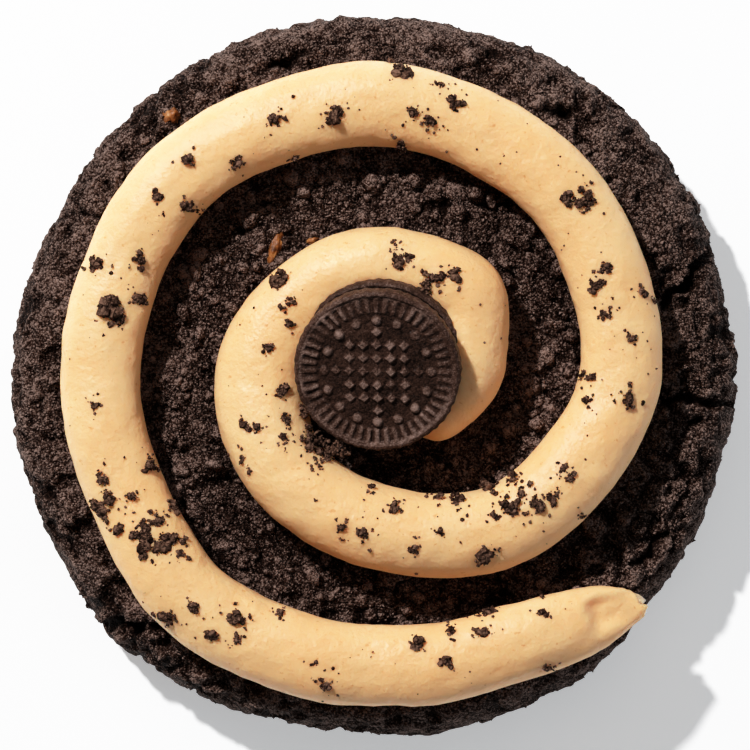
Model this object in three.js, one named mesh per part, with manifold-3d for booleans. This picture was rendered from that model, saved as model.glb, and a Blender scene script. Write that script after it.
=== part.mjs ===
// A thick round chocolate cookie with a piped peanut butter swirl, crumbs and a small sandwich biscuit.
// Millimetres, +Z up. The origin is the middle of the flat underside. Seen from above, the swirl
// winds outwards anticlockwise, and angles are counted anticlockwise from +X.
import * as THREE from "three";
import { mergeVertices } from "three/addons/utils/BufferGeometryUtils.js";
import Module from "manifold-3d";

const wasm = await Module();
wasm.setup();

// Clear gap between pieces that touch on the real thing
const GAP = 0.3;

// Joins and cuts may drop details smaller than this
const TOLERANCE = 0.02;

// Cookie: a disc with a domed top, a rounded shoulder and a flat underside
const COOKIE_RADIUS = 57;
const COOKIE_HEIGHT = 18;
const WAIST_HEIGHT = 6.5; // level of the widest ring
const UNDERSIDE_RADIUS = 53.5;
const SHOULDER_POWER = 24; // a higher power is flatter on top, with a tighter shoulder
const TOP_RADIUS = 44; // where the rings of the top give way to those of the shoulder
const TOP_RINGS = 11;
const SHOULDER_RINGS = 6;
const FOOT_RINGS = 3;
const COOKIE_SIDES = 96;

// Rim as seen from above: [angle, radius]
const RIM = [
  [0, 57.3], [15, 56.7], [30, 57.8], [58, 57.4], [76, 56.7], [104, 57.1], [128, 56.5], [157, 56.2],
  [181, 57.2], [208, 56.9], [225, 58.2], [240, 57.2], [262, 56], [286, 57], [306, 57.5], [322, 55.7],
  [331, 56.7], [346, 56.4], [360, 57.3],
];

// Relief of the crust: broad lumps and smaller crags
const LUMP_SIZE = 13;
const LUMP_HEIGHT = 0.9;
const CRAG_SIZE = 5.5;
const CRAG_HEIGHT = 0.9;
const RIM_CALM = 0.7; // share of the lumps and crags that the upright rim goes without
const CALM_FOOT = 3; // the relief fades out below this level
const SEAT_INNER = 5.5; // no relief this close to the swirl's middle line
const SEAT_OUTER = 8.5; // full relief from here on
const HEART_INNER = 11; // nor under the sandwich biscuit
const HEART_OUTER = 14;

// Cracks in the crust: [angle and radius of one end, angle and radius of the other, width, depth]
const CRACKS = [
  [14, 46, 20.5, 57.5, 1.8, 3.6],
  [-4.5, 45, -4, 57.5, 1.35, 2.8],
  [-28, 52.5, -36, 50.5, 1.9, 2.2],
  [57, 49.5, 52, 52.5, 1.7, 1.8],
  [101, 51.5, 111, 50.2, 1.6, 1.9],
  [119, 51, 125, 55.5, 1.3, 1.5],
  [222, 57.5, 229, 51.5, 2, 2.6],
  [252, 54.5, 256, 58, 1.8, 2],
  [66, 29.5, 73, 27, 2, 2],
];
const CRACK_STEPS = 5;
const CRACK_WANDER = 0.7; // sideways wander of a crack's line
const CRACK_RISE = 2.5; // how far a crack's cutter stands clear of the crust
const CRACK_NARROWING = 0.75; // share of a crack's width and depth that it loses towards its ends
const CRACK_FIRST = 0.08; // places along a crack, from 0 to 1, beyond which it narrows no further
const CRACK_LAST = 0.8;
const CRACK_BOTTOM = 0.2; // width of a crack at its bottom
const CRACK_EDGE = 1.5; // a crack's level is taken at least this far inside the cookie's edge

// Peanut pieces that show in the crust: [angle, radius, length, width, heading]
const PEANUT_PIECES = [
  [128, 51.2, 3.4, 2.8, 40],
  [127.5, 25.1, 5.4, 1.9, 72],
  [114, 23.2, 1.9, 1.2, 20],
];
const PEANUT_PROUD = 0.3; // how far a piece stands out of the crust

// Swirl: one bead along a spiral. [angle, distance from the middle, bead width, bead height]
const SWIRL_KNOTS = [
  [-55, 9.5, 11.5, 9],
  [-28, 10.2, 11.6, 10.8],
  [0, 13, 12.5, 11.6],
  [22, 15.5, 12.8, 12],
  [45, 18.5, 12.9, 12.4],
  [90, 16.95, 11.9, 12.2],
  [135, 16.1, 12.8, 12],
  [180, 17.2, 14.4, 12],
  [225, 19.4, 13, 12.8],
  [270, 23, 12.9, 13.2],
  [315, 31.1, 13, 12.2],
  [360, 38, 12.7, 10.4],
  [405, 40.8, 12.4, 10],
  [450, 42.05, 12.9, 10.2],
  [495, 42.7, 12.5, 9.7],
  [540, 42.25, 12.2, 9.6],
  [585, 43.7, 12.5, 10.2],
  [615, 44.3, 12.7, 9.8],
  [640, 45.1, 12.6, 9.6],
  [660, 47, 12, 9],
  [672, 50.3, 9.8, 6.8],
  [680, 54.3, 4.4, 3.4],
];
const SWIRL_SIDES = 14;
const SWIRL_STEPS = 96;
const SWIRL_FOOT_POWER = 0.6; // a lower power squares the bead's foot
const SWIRL_CREST_POWER = 2.15; // a higher power flattens the bead's crest
const START_ROUND = 5.5; // length of the rounded inner end
const START_RINGS = 4;
const END_ROUND = 0.4; // length of the blunt outer end
const END_SHARE = 0.2; // share of the bead's size at its very ends
const END_SLANT = 0.26; // the outer end is cut askew: how far it runs ahead for each millimetre outwards
const SLANT_LENGTH = 2.5; // length of the bead that the slant bends
const BED_RADIUS = 52; // the bead stops following the shoulder down here

// Scoop that the nozzle left near the outer end: how far back it starts and the step down into it, its
// inner and outer edge across the bead with the widths of their slopes, its depth and the share at the tip
const SCOOP = { back: 7.4, step: 2, inner: -4, wall: 2.4, outer: 3.6, slope: 3.8, depth: 1.8, tip: 0.1 };

// Crumbs on the swirl in patches: [angle, offset outwards, spread, largest crumb]
const CRUMB_PATCHES = [
  [52, 1.6, 0.4, 2.4], [77, 0.8, 1, 2.3], [134, 4.6, 0.4, 3.3], [188, -3.4, 0.4, 2.2],
  [202, 2.9, 0.4, 2.4], [204, 1, 0.8, 1.9], [214, 4.7, 1, 1.9], [221, -5.4, 2, 2],
  [231, -5.6, 2.2, 2.2], [259, 1.6, 0.4, 1.9], [266, 1.1, 0.9, 2.1], [290, -5.9, 0.4, 2.1],
  [297, -5.7, 1, 2.5], [303, 3.7, 0.4, 3.2], [312, -6.4, 0.3, 3.5], [315, -2.4, 1.3, 2.9],
  [321, -5.6, 0.4, 2.1], [322, 0.1, 1.2, 2.8], [355, 1.6, 0.9, 2.5], [382, -2.5, 0.4, 2.4],
  [385, -0.2, 0.4, 2.5], [400, 1.4, 1.6, 2.5], [402, -0.4, 0.4, 2.3], [433, 2.3, 0.4, 2.3],
  [437, -1.6, 0.9, 2.1], [441, -1.1, 0.4, 2.1], [445, 5.1, 0.6, 3.4], [459, -1.9, 0.8, 3],
  [471, 0, 0.9, 2.3], [482, -3.4, 0.4, 2.2], [490, 1.3, 0.4, 2.2], [501, 0.5, 0.9, 2.1],
  [514, -2.1, 0.4, 2.5], [518, 3.7, 0.9, 2.5], [522, -4, 0.9, 2.1], [525, -0.5, 1.4, 4],
  [564, 2.3, 0.4, 2.1], [565, 4.7, 0.9, 3.1], [565, -0.9, 0.4, 1.9], [570, 3.1, 0.4, 2.2],
  [571, -5.8, 0.4, 2.3], [572, -3, 1, 1.9], [574, 0.5, 1.3, 2.9], [577, -2.3, 1.6, 3.5],
  [589, 4.8, 1, 2.4], [591, 0.5, 0.4, 1.9], [597, 2.3, 0.4, 2.2], [599, -1.8, 1.2, 2.5],
  [621, 3.4, 1.6, 2], [639, -3.7, 0.4, 3.1], [644, -0.4, 0.4, 2.4], [652, -3.3, 0.4, 2.3],
  [654, -5.9, 0.6, 2.7],
];
const CRUMBS_PER_SPREAD = 1; // further crumbs in a patch for each millimetre of its spread
const CRUMB_RATIO = 0.72; // each next crumb of a patch against the one before
const SMALLEST_CRUMB = 1.6;
const CRUMB_SUNK = 0.44; // share of a crumb's size below the surface
const CRUMB_NEAREST = 0.6; // share of the spread that the further crumbs are away at least
const CRUMB_REACH = 0.49; // crumbs stay within this share of the bead's width from its middle line
const CRUMB_JITTER = 0.26;

// Sandwich biscuit: two wafers on a cream layer, tipped over on the swirl
const WAFER_RADIUS = 12.75;
const WAFER_THICKNESS = 2.9;
const WAFER_EDGE = 0.7; // rounding of the wafer's edge
const CREAM_RADIUS = 10.8;
const CREAM_THICKNESS = 2.2;
const CREAM_BULGE = 0.3;
const SANDWICH_HEIGHT = 2 * WAFER_THICKNESS + CREAM_THICKNESS;
const SANDWICH_FOOT = new THREE.Vector3(1.2, 3.2, 24.9); // middle of its underside
const SANDWICH_LEAN_ANGLE = 255; // the way its face leans
const SANDWICH_TILT = 19;
const RIDGES = 48; // radial ridges round the wafer's face
const NEARLY = 0.01; // play when points are told apart by their radius
const RIDGE_INNER = 9.4;
const RIDGE_OUTER = 11.7;
const RIDGE_HEIGHT = 0.4;
const FIELD_DEPTH = 0.45; // the field inside the ridges lies this far below the edge
const PIPS = 16; // ring of round pips inside the ridges
const PIP_RING_RADIUS = 8.15;
const PIP_RADIUS = 0.8;
const PIP_SIDES = 6;
const PIP_RINGS = 4;
const STUD_PITCH = 2.1; // middle field of diamond studs
const STUD_RADIUS = 1.05;
const STUD_HEIGHT = 0.5;
const STUD_TOP = 0.55; // top of a stud against its foot
const STUD_FIELD_RADIUS = 6.4;

const COCOA_CRUST = new THREE.MeshStandardMaterial({ color: 0x30211a, roughness: 0.85, metalness: 0 });
const PEANUT_CREAM = new THREE.MeshStandardMaterial({ color: 0xf0c48b, roughness: 0.5, metalness: 0 });
const COCOA_WAFER = new THREE.MeshStandardMaterial({ color: 0x33251f, roughness: 0.7, metalness: 0 });
const VANILLA_CREAM = new THREE.MeshStandardMaterial({ color: 0xf2e6d0, roughness: 0.6, metalness: 0 });

// Small helpers

const radians = THREE.MathUtils.degToRad;
const fade = THREE.MathUtils.smoothstep;

function polar(angle, radius) {
  return new THREE.Vector2(radius * Math.cos(radians(angle)), radius * Math.sin(radians(angle)));
}

// A repeatable random number from 0 to 1
function draw(seed) {
  const wave = Math.sin(seed * 12.9898 + 4.1414) * 43758.5453;
  return wave - Math.floor(wave);
}

// Smooth noise from -1 to 1, with one random value for each lattice point
function noise(x, y, z) {
  const cell = [x, y, z].map(Math.floor);
  const [u, v, w] = [x, y, z].map((value, axis) => fade(value - cell[axis], 0, 1));
  const corner = (i, j, k) => draw((cell[0] + i) * 17 + (cell[1] + j) * 59 + (cell[2] + k) * 131);
  const row = (j, k) => THREE.MathUtils.lerp(corner(0, j, k), corner(1, j, k), u);
  const sheet = (k) => THREE.MathUtils.lerp(row(0, k), row(1, k), v);
  return 2 * THREE.MathUtils.lerp(sheet(0), sheet(1), w) - 1;
}

// Moves every vertex of a geometry by a function that changes the point it is given
function reshape(geometry, move) {
  const places = geometry.attributes.position;
  const point = new THREE.Vector3();
  for (let i = 0; i < places.count; i++) {
    point.fromBufferAttribute(places, i);
    move(point, i);
    places.setXYZ(i, point.x, point.y, point.z);
  }
  return geometry;
}

function welded(geometry) {
  const bare = new THREE.BufferGeometry().setAttribute("position", geometry.attributes.position);
  return mergeVertices(bare.setIndex(geometry.index));
}

function solidOf(geometry) {
  const closed = welded(geometry);
  const vertProperties = closed.attributes.position.array;
  const triVerts = new Uint32Array(closed.index.array);
  return new wasm.Manifold(new wasm.Mesh({ numProp: 3, vertProperties, triVerts, tolerance: TOLERANCE }));
}

function meshOf(name, solid, material) {
  const { vertProperties, triVerts } = solid.getMesh();
  const geometry = new THREE.BufferGeometry()
    .setAttribute("position", new THREE.BufferAttribute(vertProperties, 3))
    .setIndex(new THREE.BufferAttribute(triVerts, 1));
  geometry.computeVertexNormals();
  const mesh = new THREE.Mesh(geometry, material);
  mesh.name = name;
  return mesh;
}

// Lathe about +Z. The profile runs from the axis below to the axis above.
function turned(profile, sides) {
  const points = profile.map(([radius, height]) => new THREE.Vector2(radius, height));
  return new THREE.LatheGeometry(points, sides).rotateX(Math.PI / 2);
}

// Form of the cookie

const DOME = COOKIE_HEIGHT - WAIST_HEIGHT;

function cookieTop(radius) {
  const share = Math.min(radius / COOKIE_RADIUS, 1);
  return WAIST_HEIGHT + DOME * Math.sqrt(1 - share ** SHOULDER_POWER);
}

// Outward direction of the smooth cookie at a point on its surface
function cookieNormal({ x, y, z }) {
  const radius = Math.hypot(x, y);
  const lift = Math.max(z - WAIST_HEIGHT, 0);
  const outward = (SHOULDER_POWER / COOKIE_RADIUS) * (radius / COOKIE_RADIUS) ** (SHOULDER_POWER - 1);
  const upward = (2 * lift) / DOME ** 2;
  const side = radius > 0 ? outward / radius : 0;
  return new THREE.Vector3(x * side, y * side, upward).normalize();
}

function cookieProfile() {
  const top = (radius) => [radius, cookieTop(radius)];
  const profile = [[0, 0]];
  for (let i = FOOT_RINGS; i > 0; i--) {
    const turn = (i / FOOT_RINGS) * (Math.PI / 2);
    const reach = (COOKIE_RADIUS - UNDERSIDE_RADIUS) * Math.cos(turn);
    profile.push([UNDERSIDE_RADIUS + reach, WAIST_HEIGHT * (1 - Math.sin(turn))]);
  }
  const shoulderTurn = Math.asin((TOP_RADIUS / COOKIE_RADIUS) ** (SHOULDER_POWER / 2));
  for (let i = SHOULDER_RINGS; i > 0; i--) {
    const turn = THREE.MathUtils.lerp(shoulderTurn, Math.PI / 2, i / SHOULDER_RINGS);
    profile.push(top(COOKIE_RADIUS * Math.sin(turn) ** (2 / SHOULDER_POWER)));
  }
  for (let i = TOP_RINGS; i >= 0; i--) profile.push(top((TOP_RADIUS * i) / TOP_RINGS));
  return profile;
}

const swirlRoute = new THREE.SplineCurve(SWIRL_KNOTS.map(([angle, radius]) => polar(angle, radius)));
const swirlSizes = SWIRL_KNOTS.map(([, , width, height]) => new THREE.Vector2(width, height));
const swirlGirth = new THREE.SplineCurve(swirlSizes);
const swirlLength = swirlRoute.getLength();
const swirlLine = swirlRoute.getSpacedPoints(3 * SWIRL_STEPS);

// How much of the relief shows: none where the swirl and the biscuit sit
function reliefShare({ x, y, z }) {
  const nearest = Math.min(...swirlLine.map((point) => Math.hypot(point.x - x, point.y - y)));
  const clearOfSwirl = fade(nearest, SEAT_INNER, SEAT_OUTER);
  const clearOfHeart = fade(Math.hypot(x, y), HEART_INNER, HEART_OUTER);
  return z > WAIST_HEIGHT ? clearOfSwirl * clearOfHeart : fade(z, 0, CALM_FOOT);
}

function rimRadius(x, y) {
  const angle = (THREE.MathUtils.radToDeg(Math.atan2(y, x)) + 360) % 360;
  const next = RIM.findIndex(([start]) => start > angle);
  const [startAngle, startRadius] = RIM[next - 1];
  const [endAngle, endRadius] = RIM[next];
  return THREE.MathUtils.lerp(startRadius, endRadius, fade(angle, startAngle, endAngle));
}

function roughen(point) {
  const { x, y, z } = point;
  const lumps = LUMP_HEIGHT * noise(x / LUMP_SIZE, y / LUMP_SIZE, z / LUMP_SIZE);
  const crags = CRAG_HEIGHT * noise(x / CRAG_SIZE, y / CRAG_SIZE, z / CRAG_SIZE);
  const normal = cookieNormal(point);
  const upright = Math.hypot(normal.x, normal.y);
  const relief = (lumps + crags) * (1 - RIM_CALM * upright) * reliefShare(point);
  const outward = (rimRadius(x, y) - COOKIE_RADIUS) * upright * fade(z, 0, CALM_FOOT);
  point.addScaledVector(normal, relief + outward);
}

// Wedge that opens a crack: a bar along the crack's line, wide above the crust and sharp below it
function crackCutter([angleA, radiusA, angleB, radiusB, width, depth], number) {
  const bar = new THREE.BoxGeometry(1, 1, 1, CRACK_STEPS, 1, 1);
  reshape(bar, (point) => {
    const along = point.x + 0.5;
    const spot = polar(
      THREE.MathUtils.lerp(angleA, angleB, along),
      THREE.MathUtils.lerp(radiusA, radiusB, along),
    );
    const ahead = polar(angleB, radiusB).sub(polar(angleA, radiusA)).normalize();
    const step = Math.round(along * CRACK_STEPS);
    const wander = CRACK_WANDER * (2 * draw(number * 31 + step) - 1);
    const arch = Math.sin(Math.PI * THREE.MathUtils.clamp(along, CRACK_FIRST, CRACK_LAST));
    const swell = 1 - CRACK_NARROWING * (1 - arch);
    const half = (Math.sign(point.y) / 2) * (point.z > 0 ? width * swell : CRACK_BOTTOM);
    const level = cookieTop(Math.min(spot.length(), COOKIE_RADIUS - CRACK_EDGE));
    point.set(
      spot.x - ahead.y * (half + wander),
      spot.y + ahead.x * (half + wander),
      point.z > 0 ? level + CRACK_RISE : level - depth * swell,
    );
  });
  return solidOf(bar);
}

function peanutPiece([angle, radius, length, width, heading]) {
  const lump = new THREE.IcosahedronGeometry(0.5, 1);
  lump.scale(length, width, width);
  lump.rotateZ(radians(heading));
  const spot = polar(angle, radius);
  lump.translate(spot.x, spot.y, cookieTop(radius) + PEANUT_PROUD - width / 2);
  return solidOf(lump);
}

function cookie() {
  const crust = solidOf(reshape(turned(cookieProfile(), COOKIE_SIDES), roughen));
  const cracks = wasm.Manifold.union(CRACKS.map(crackCutter));
  return wasm.Manifold.union([crust.subtract(cracks), ...PEANUT_PIECES.map(peanutPiece)]);
}

// Form of the swirl

// Bead size at a share of the spiral's length, with a rounded start and a blunt end
function beadSize(share) {
  const size = swirlGirth.getPoint(swirlRoute.getUtoTmapping(share));
  const fromStart = Math.min((share * swirlLength) / START_ROUND, 1);
  const fromEnd = Math.min(((1 - share) * swirlLength) / END_ROUND, 1);
  const round = Math.sqrt(1 - (1 - fromStart) ** 2) * Math.sqrt(1 - (1 - fromEnd) ** 2);
  return size.multiplyScalar(Math.max(round, END_SHARE));
}

// Point of the bead: a share of its length, an offset outwards and a height above its bed
function beadPoint(share, across, height) {
  const middle = swirlRoute.getPointAt(share);
  const ahead = swirlRoute.getTangentAt(share);
  const x = middle.x + ahead.y * across;
  const y = middle.y - ahead.x * across;
  const bed = cookieTop(Math.min(Math.hypot(x, y), BED_RADIUS)) + GAP;
  return new THREE.Vector3(x, y, bed + height);
}

function scoopDepth(share, across) {
  const back = (1 - share) * swirlLength;
  const started = 1 - fade(back, SCOOP.back, SCOOP.back + SCOOP.step);
  const shallower = THREE.MathUtils.lerp(SCOOP.tip, 1, back / SCOOP.back);
  const inner = fade(across, SCOOP.inner, SCOOP.inner + SCOOP.wall);
  const outer = 1 - fade(across, SCOOP.outer - SCOOP.slope, SCOOP.outer);
  return SCOOP.depth * started * shallower * inner * outer;
}

// Height of the bead's upper face above its bed
function beadHeight(share, across) {
  const size = beadSize(share);
  const side = Math.min(Math.abs((2 * across) / size.x), 1);
  const upper = (1 - side ** SWIRL_CREST_POWER) ** (1 / SWIRL_CREST_POWER);
  return (size.y / 2) * (1 + upper) - scoopDepth(share, across) * upper;
}

// Share of the spiral's length at each ring of the bead: close together at the ends, else evenly spaced
function ringShare(ring) {
  const start = START_ROUND / swirlLength;
  const end = 1 - END_ROUND / swirlLength;
  if (ring < START_RINGS) return start * (1 - Math.cos((ring / START_RINGS) * (Math.PI / 2)));
  if (ring === SWIRL_STEPS) return 1;
  return THREE.MathUtils.lerp(start, end, (ring - START_RINGS) / (SWIRL_STEPS - 1 - START_RINGS));
}

function bead() {
  const rod = new THREE.CylinderGeometry(1, 1, 1, SWIRL_SIDES, SWIRL_STEPS);
  reshape(rod, (point) => {
    const share = ringShare(Math.round((point.y + 0.5) * SWIRL_STEPS));
    const size = beadSize(share);
    const across = (size.x / 2) * point.x;
    const foot = (size.y / 2) * (1 - Math.abs(point.z) ** SWIRL_FOOT_POWER);
    const height = point.z > 0 ? beadHeight(share, across) : foot;
    const slant = END_SLANT * across * fade(share * swirlLength, swirlLength - SLANT_LENGTH, swirlLength);
    const ahead = swirlRoute.getTangentAt(share);
    point.copy(beadPoint(share, across, height));
    point.add(new THREE.Vector3(ahead.x * slant, ahead.y * slant, 0));
  });
  return solidOf(rod);
}

// Share of the spiral's length at which it passes an angle
function shareAtAngle(angle) {
  const next = SWIRL_KNOTS.findIndex((knot) => knot[0] > angle);
  const [before, after] = [SWIRL_KNOTS[next - 1][0], SWIRL_KNOTS[next][0]];
  const knot = next - 1 + (angle - before) / (after - before);
  const lengths = swirlRoute.getLengths();
  return lengths[Math.round((knot / (SWIRL_KNOTS.length - 1)) * (lengths.length - 1))] / swirlLength;
}

function crumb(spot, size, seed) {
  const lump = welded(new THREE.IcosahedronGeometry(size / 2, 0));
  reshape(lump, (point, i) => {
    point.multiplyScalar(1 + CRUMB_JITTER * (2 * draw(seed * 13 + i) - 1));
    point.add(spot);
  });
  return solidOf(lump);
}

function crumbPatch([angle, offset, spread, largest], patch) {
  const share = shareAtAngle(angle);
  const count = 1 + Math.round(spread * CRUMBS_PER_SPREAD);
  const crumbs = [];
  for (let i = 0; i < count; i++) {
    const size = largest * CRUMB_RATIO ** i;
    if (size < SMALLEST_CRUMB) break;
    const seed = patch * 10 + i;
    const turn = 2 * Math.PI * draw(seed + 0.3);
    const reach = i === 0 ? 0 : spread * THREE.MathUtils.lerp(CRUMB_NEAREST, 1, draw(seed + 0.6));
    const along = share + (reach * Math.cos(turn)) / swirlLength;
    const limit = CRUMB_REACH * beadSize(along).x;
    const across = THREE.MathUtils.clamp(offset + reach * Math.sin(turn), -limit, limit);
    const height = beadHeight(along, across) + size * (0.5 - CRUMB_SUNK);
    crumbs.push(crumb(beadPoint(along, across, height), size, seed));
  }
  return crumbs;
}

// Form of the sandwich biscuit

function waferBlank(ridged) {
  const face = WAFER_THICKNESS;
  const profile = [
    [0, 0],
    [WAFER_RADIUS - WAFER_EDGE, 0],
    [WAFER_RADIUS, WAFER_EDGE],
    [WAFER_RADIUS, face - WAFER_EDGE],
    [RIDGE_OUTER, face],
  ];
  if (ridged) profile.push([RIDGE_INNER, face], [RIDGE_INNER - FIELD_DEPTH, face - FIELD_DEPTH]);
  profile.push([0, ridged ? face - FIELD_DEPTH : face]);
  return turned(profile, ridged ? 2 * RIDGES : RIDGES);
}

// Every other spoke of the ridged band is pressed down
function pressRidges(point) {
  const radius = Math.hypot(point.x, point.y);
  const upper = point.z > WAFER_THICKNESS / 2;
  const inBand = radius > RIDGE_INNER - NEARLY && radius < RIDGE_OUTER + NEARLY;
  const spoke = Math.round((Math.atan2(point.y, point.x) / Math.PI) * RIDGES);
  if (upper && inBand && spoke % 2 !== 0) point.z -= RIDGE_HEIGHT;
}

function patternedWafer() {
  const field = WAFER_THICKNESS - FIELD_DEPTH;
  const raised = [];
  for (let i = 0; i < PIPS; i++) {
    const spot = polar((360 * i) / PIPS, PIP_RING_RADIUS);
    const pip = new THREE.SphereGeometry(PIP_RADIUS, PIP_SIDES, PIP_RINGS).rotateX(Math.PI / 2);
    raised.push(solidOf(pip.translate(spot.x, spot.y, field)));
  }
  const half = Math.floor(STUD_FIELD_RADIUS / STUD_PITCH);
  for (let i = -half; i <= half; i++) {
    for (let j = -half; j <= half; j++) {
      if (Math.hypot(i, j) * STUD_PITCH > STUD_FIELD_RADIUS) continue;
      const stud = new THREE.CylinderGeometry(STUD_TOP * STUD_RADIUS, STUD_RADIUS, 2 * STUD_HEIGHT, 4);
      stud.rotateX(Math.PI / 2).translate(i * STUD_PITCH, j * STUD_PITCH, field);
      raised.push(solidOf(stud));
    }
  }
  const blank = solidOf(reshape(waferBlank(true), pressRidges));
  return wasm.Manifold.union([blank, ...raised]);
}

function creamLayer() {
  const half = CREAM_THICKNESS / 2 - GAP;
  const inset = CREAM_RADIUS - CREAM_BULGE;
  return solidOf(turned([[0, -half], [inset, -half], [CREAM_RADIUS, 0], [inset, half], [0, half]], RIDGES));
}

// Assembly

const sandwich = new THREE.Group();
sandwich.position.copy(SANDWICH_FOOT);
const lean = polar(SANDWICH_LEAN_ANGLE, 1);
sandwich.rotateOnAxis(new THREE.Vector3(-lean.y, lean.x, 0), radians(SANDWICH_TILT));
sandwich.updateMatrix();

const lowerWafer = meshOf("sandwich_lower_wafer", solidOf(waferBlank(false)), COCOA_WAFER);
const cream = meshOf("sandwich_cream", creamLayer(), VANILLA_CREAM);
cream.position.z = WAFER_THICKNESS + CREAM_THICKNESS / 2;
const upperWafer = meshOf("sandwich_upper_wafer", patternedWafer(), COCOA_WAFER);
upperWafer.position.z = WAFER_THICKNESS + CREAM_THICKNESS;
sandwich.add(lowerWafer, cream, upperWafer);

// The biscuit's hollow in the soft swirl
const printRadius = WAFER_RADIUS + GAP;
const print = new THREE.CylinderGeometry(printRadius, printRadius, SANDWICH_HEIGHT + 2 * GAP, RIDGES);
print.rotateX(Math.PI / 2).translate(0, 0, SANDWICH_HEIGHT / 2).applyMatrix4(sandwich.matrix);

function swirl() {
  const crumbed = wasm.Manifold.union([bead(), ...CRUMB_PATCHES.flatMap(crumbPatch)]);
  const pieces = crumbed.subtract(solidOf(print)).decompose();
  return pieces.reduce((largest, piece) => (piece.volume() > largest.volume() ? piece : largest));
}

const part = new THREE.Group();
part.add(meshOf("cookie", cookie(), COCOA_CRUST), meshOf("swirl", swirl(), PEANUT_CREAM), sandwich);

export default part;
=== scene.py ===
"""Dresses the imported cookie: crust, grains, piped swirl, crumbs, peanut pieces and sandwich biscuit.

Sizes are millimetres in the frame of the solids, and meshes are made from them in metres.
Seen from above, angles are counted anticlockwise from +X.
"""
import itertools
import math

import bmesh
import bpy
import numpy as np
from mathutils import Matrix, Vector


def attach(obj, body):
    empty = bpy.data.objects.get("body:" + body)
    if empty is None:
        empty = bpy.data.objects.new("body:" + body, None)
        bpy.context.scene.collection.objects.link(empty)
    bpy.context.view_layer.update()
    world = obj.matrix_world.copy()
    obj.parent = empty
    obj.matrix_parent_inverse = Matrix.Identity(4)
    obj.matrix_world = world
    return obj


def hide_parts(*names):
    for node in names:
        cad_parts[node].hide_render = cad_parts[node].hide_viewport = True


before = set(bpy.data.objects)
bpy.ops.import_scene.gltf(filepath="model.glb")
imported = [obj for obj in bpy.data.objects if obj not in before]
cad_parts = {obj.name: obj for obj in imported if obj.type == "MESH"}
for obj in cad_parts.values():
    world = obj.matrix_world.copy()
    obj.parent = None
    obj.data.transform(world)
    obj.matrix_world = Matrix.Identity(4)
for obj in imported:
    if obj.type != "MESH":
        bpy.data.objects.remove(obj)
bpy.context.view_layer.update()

MM = 0.001
SEED = 11
rng = np.random.default_rng(SEED)

# Cookie, as in the solids
COOKIE_RADIUS = 57
COOKIE_HEIGHT = 18
WAIST_HEIGHT = 6.5
UNDERSIDE_RADIUS = 53.5
SHOULDER_POWER = 24
DOME = COOKIE_HEIGHT - WAIST_HEIGHT
CRUST_RINGS = 152
PROFILE_SAMPLES = 2000

# Rim as seen from above: [angle, radius]
RIM = np.array([
    [0, 57.3], [15, 56.7], [30, 57.8], [58, 57.4], [76, 56.7], [104, 57.1], [128, 56.5], [157, 56.2],
    [181, 57.2], [208, 56.9], [225, 58.2], [240, 57.2], [262, 56], [286, 57], [306, 57.5], [322, 55.7],
    [331, 56.7], [346, 56.4], [360, 57.3],
])

# Relief of the crust. Lumps, crags and the calm rim are in the solids too, the finer relief only here.
LUMP_SIZE, LUMP_HEIGHT = 13, 0.9
CRAG_SIZE, CRAG_HEIGHT = 5.5, 0.9
RIM_CALM, FINE_RIM_CALM, HOLLOW_RIM_CALM = 0.7, 0.55, 0.45
RIM_BUMP_SIZE, RIM_BUMP_HEIGHT = 1.7, 0.4
# The crust changes from inner to outer between two radii, and gets rougher towards the far side
INNER_CRUST, OUTER_FADE = 37, (34, 41)
INNER_ROUGHNESS = 1.4
OUTER_ROUGHNESS, FAR_ROUGHNESS = 1.5, 0.5
WARP_SIZE, WARP_REACH = 1.7, 0.5
CHUNK_SIZE, CREVICE_WIDTH, CREVICE_DEPTH = 6.5, 0.22, 1.3
CREVICE_PATCH_SIZE, CREVICE_PATCH_EDGE = 9, (-0.3, 0.4)
PIT_SIZE, PIT_EDGE, PIT_SLOPE, PIT_DEPTH = 2.3, 0.08, 0.35, 1.3
INNER_HOLLOWS = 0.5
COBBLE_SIZE, COBBLE_HEIGHT = 2.6, 0.6
PEBBLE_SIZE, PEBBLE_HEIGHT = 1.2, 0.32
PEBBLE_LEVEL = 0.55
GRIT_SIZE, GRIT_HEIGHT = 0.55, 0.1
CALM_FOOT = 3
# The relief fades out under the bead, between these shares of its half width
SEAT_INNER, SEAT_OUTER = 0.55, 0.9

# Tone of the crust, from 0 for dark to 1 for pale: its middle, and what changes it. Painted light makes
# the outer crust paler, more so on the far side; painted shade darkens the near groove, low fine relief,
# cracks and hollows.
CRUST_TONE = 0.5
OUTER_PAINTED_LIGHT, FAR_PAINTED_LIGHT, NEAR_GROOVE_SHADE = 0.08, 0.05, 0.12
FINE_RELIEF_SHADE, CRACK_SHADE, HOLLOW_SHADE = 0.4, 0.28, 0.16
CHUNK_TONE, COBBLE_TONE = 0.14, 0.14
TONE_PATCH_SIZE, TONE_PATCH = 7, 0.08

# Cracks: [angle and radius of one end, angle and radius of the other, width, depth]
CRACKS = [
    [14, 46, 20.5, 57.5, 1.8, 3.6],
    [-4.5, 45, -4, 57.5, 1.35, 2.8],
    [-28, 52.5, -36, 50.5, 1.9, 2.2],
    [57, 49.5, 52, 52.5, 1.7, 1.8],
    [101, 51.5, 111, 50.2, 1.6, 1.9],
    [119, 51, 125, 55.5, 1.3, 1.5],
    [222, 57.5, 229, 51.5, 2, 2.6],
    [252, 54.5, 256, 58, 1.8, 2],
    [66, 29.5, 73, 27, 2, 2],
]
CRACK_STEPS = 5
CRACK_WANDER = 0.7
# Shape along a crack, width of its opening in shares of its own width, and steepness of its walls
CRACK_THIN, CRACK_SPAN = 0.25, (0.08, 0.8)
CRACK_OPENING, CRACK_WALL = 0.65, 0.5
# Ragged edges of the cracks: (size, reach)
CRACK_RAGS = [(1.3, 0.3), (0.6, 0.15)]

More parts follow.
